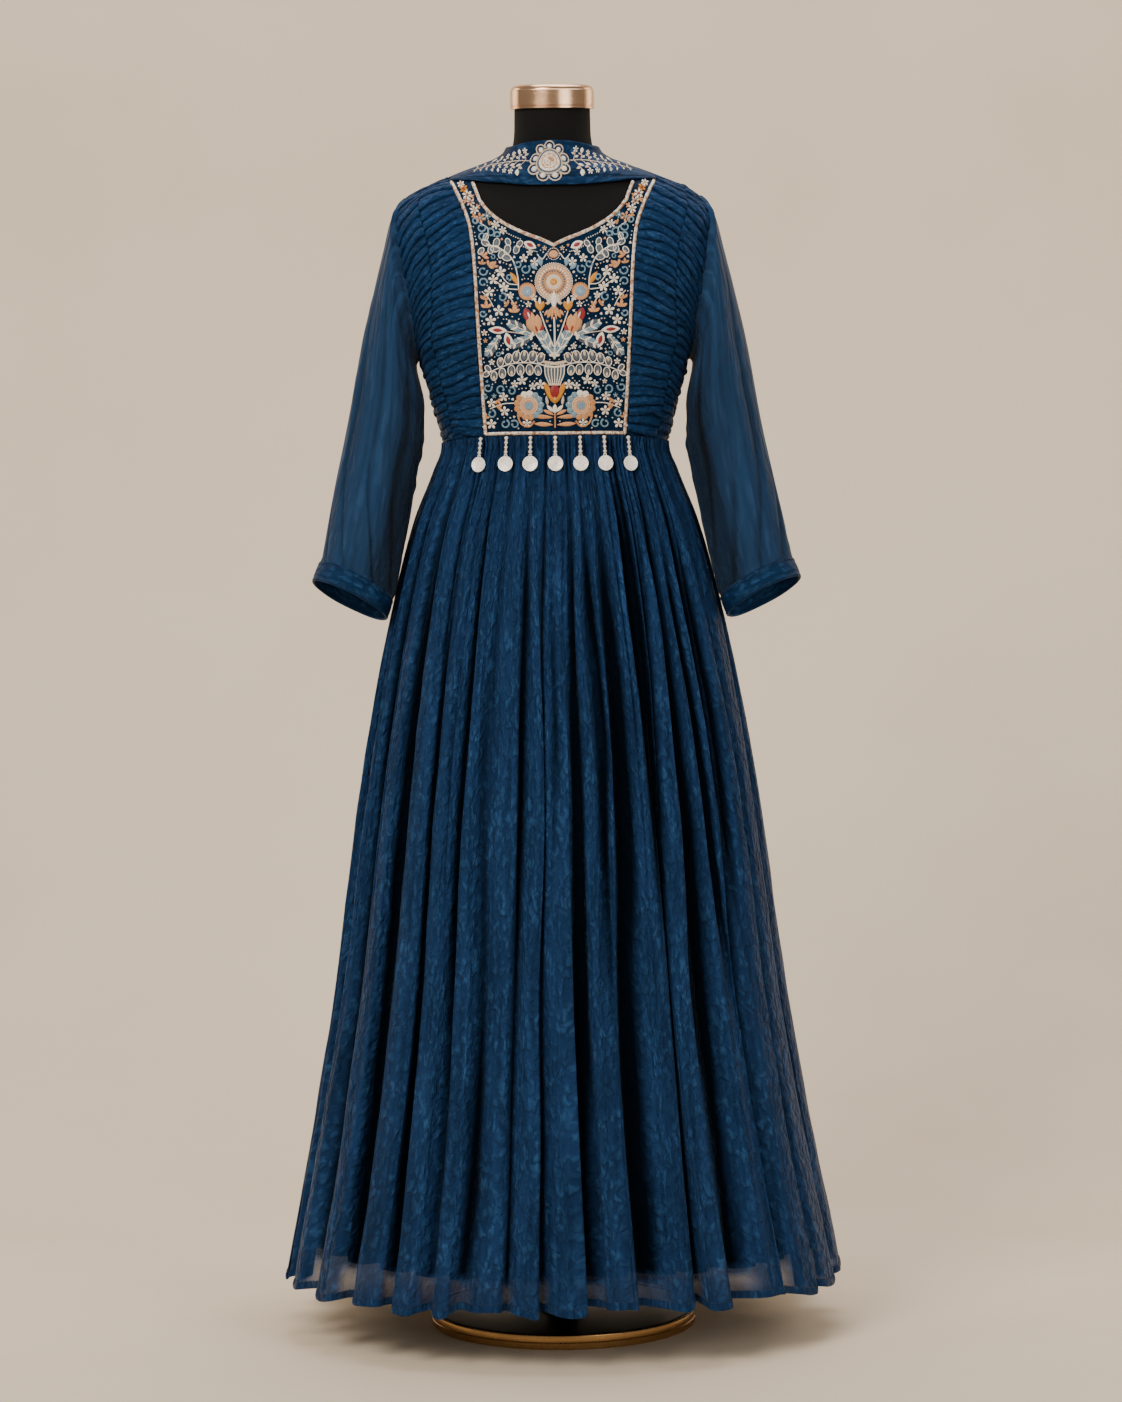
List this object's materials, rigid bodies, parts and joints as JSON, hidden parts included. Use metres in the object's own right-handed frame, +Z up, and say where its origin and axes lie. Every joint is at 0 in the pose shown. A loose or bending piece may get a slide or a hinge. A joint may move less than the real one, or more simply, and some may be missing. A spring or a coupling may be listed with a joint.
{
  "type": "anarkali gown on dress form",
  "caption": "Long gathered gown with ruched bodice, embroidered yoke, neck band and sheer sleeves, worn on a limbless dress form that stands on a round base.",
  "frame": {"origin": "centre of the stand's round base, at its underside", "axes": "+Z up along the pole, -Y towards the gown's front, +X towards the wearer's left"},
  "size_m": [0.7021, 0.6062, 1.558],
  "materials": {
    "base_black": "gloss black enamel",
    "pole_black": "satin black enamel",
    "rim_brass": "polished",
    "cap_brass": "brushed",
    "form_jersey": "fine black jersey",
    "outer_cloth": "sheer crinkled organza",
    "lining_cloth": "plain satin lining",
    "zari": "metal-thread trim",
    "coin_silver": "silver-toned"
  },
  "bodies": {
    "dress": {"base_plate": "base_black", "base_rim": "rim_brass", "stand_pole": "pole_black", "form_torso": "form_jersey", "neck_cap": "cap_brass", "yoke_front": "outer_cloth", "side_front_left": "outer_cloth", "side_front_right": "outer_cloth", "bodice_back": "outer_cloth", "collar_band": "outer_cloth", "neck_border": "zari", "yoke_border": "zari", "sleeve_left": "outer_cloth", "sleeve_right": "outer_cloth", "cuff_left": "outer_cloth", "cuff_right": "outer_cloth", "skirt_outer": "outer_cloth", "skirt_lining": "lining_cloth"},
    "drop_1": {"coin_drop_1": "coin_silver"},
    "drop_2": {"coin_drop_2": "coin_silver"},
    "drop_3": {"coin_drop_3": "coin_silver"},
    "drop_4": {"coin_drop_4": "coin_silver"},
    "drop_5": {"coin_drop_5": "coin_silver"},
    "drop_6": {"coin_drop_6": "coin_silver"},
    "drop_7": {"coin_drop_7": "coin_silver"}
  },
  "joints": [
    {"name": "drop_1_swing", "type": "hinge", "parent": "dress", "child": "drop_1", "pos_m": [-0.09186, -0.08755, 1.12316], "axis": [-0.8827, 0.4699, 0], "range_deg": [0, 70]},
    {"name": "drop_2_swing", "type": "hinge", "parent": "dress", "child": "drop_2", "pos_m": [-0.0601, -0.10018, 1.12441], "axis": [-0.9648, 0.2631, 0], "range_deg": [0, 70]},
    {"name": "drop_3_swing", "type": "hinge", "parent": "dress", "child": "drop_3", "pos_m": [-0.03046, -0.10582, 1.12465], "axis": [-0.9936, 0.1126, 0], "range_deg": [0, 70]},
    {"name": "drop_4_swing", "type": "hinge", "parent": "dress", "child": "drop_4", "pos_m": [0, -0.10738, 1.12467], "axis": [-1, 0, 0], "range_deg": [0, 70]},
    {"name": "drop_5_swing", "type": "hinge", "parent": "dress", "child": "drop_5", "pos_m": [0.03046, -0.10582, 1.12465], "axis": [-0.9936, -0.1126, 0], "range_deg": [0, 70]},
    {"name": "drop_6_swing", "type": "hinge", "parent": "dress", "child": "drop_6", "pos_m": [0.0601, -0.10018, 1.12441], "axis": [-0.9648, -0.2631, 0], "range_deg": [0, 70]},
    {"name": "drop_7_swing", "type": "hinge", "parent": "dress", "child": "drop_7", "pos_m": [0.08981, -0.08864, 1.1233], "axis": [-0.8906, -0.4547, 0], "range_deg": [0, 70]}
  ]
}
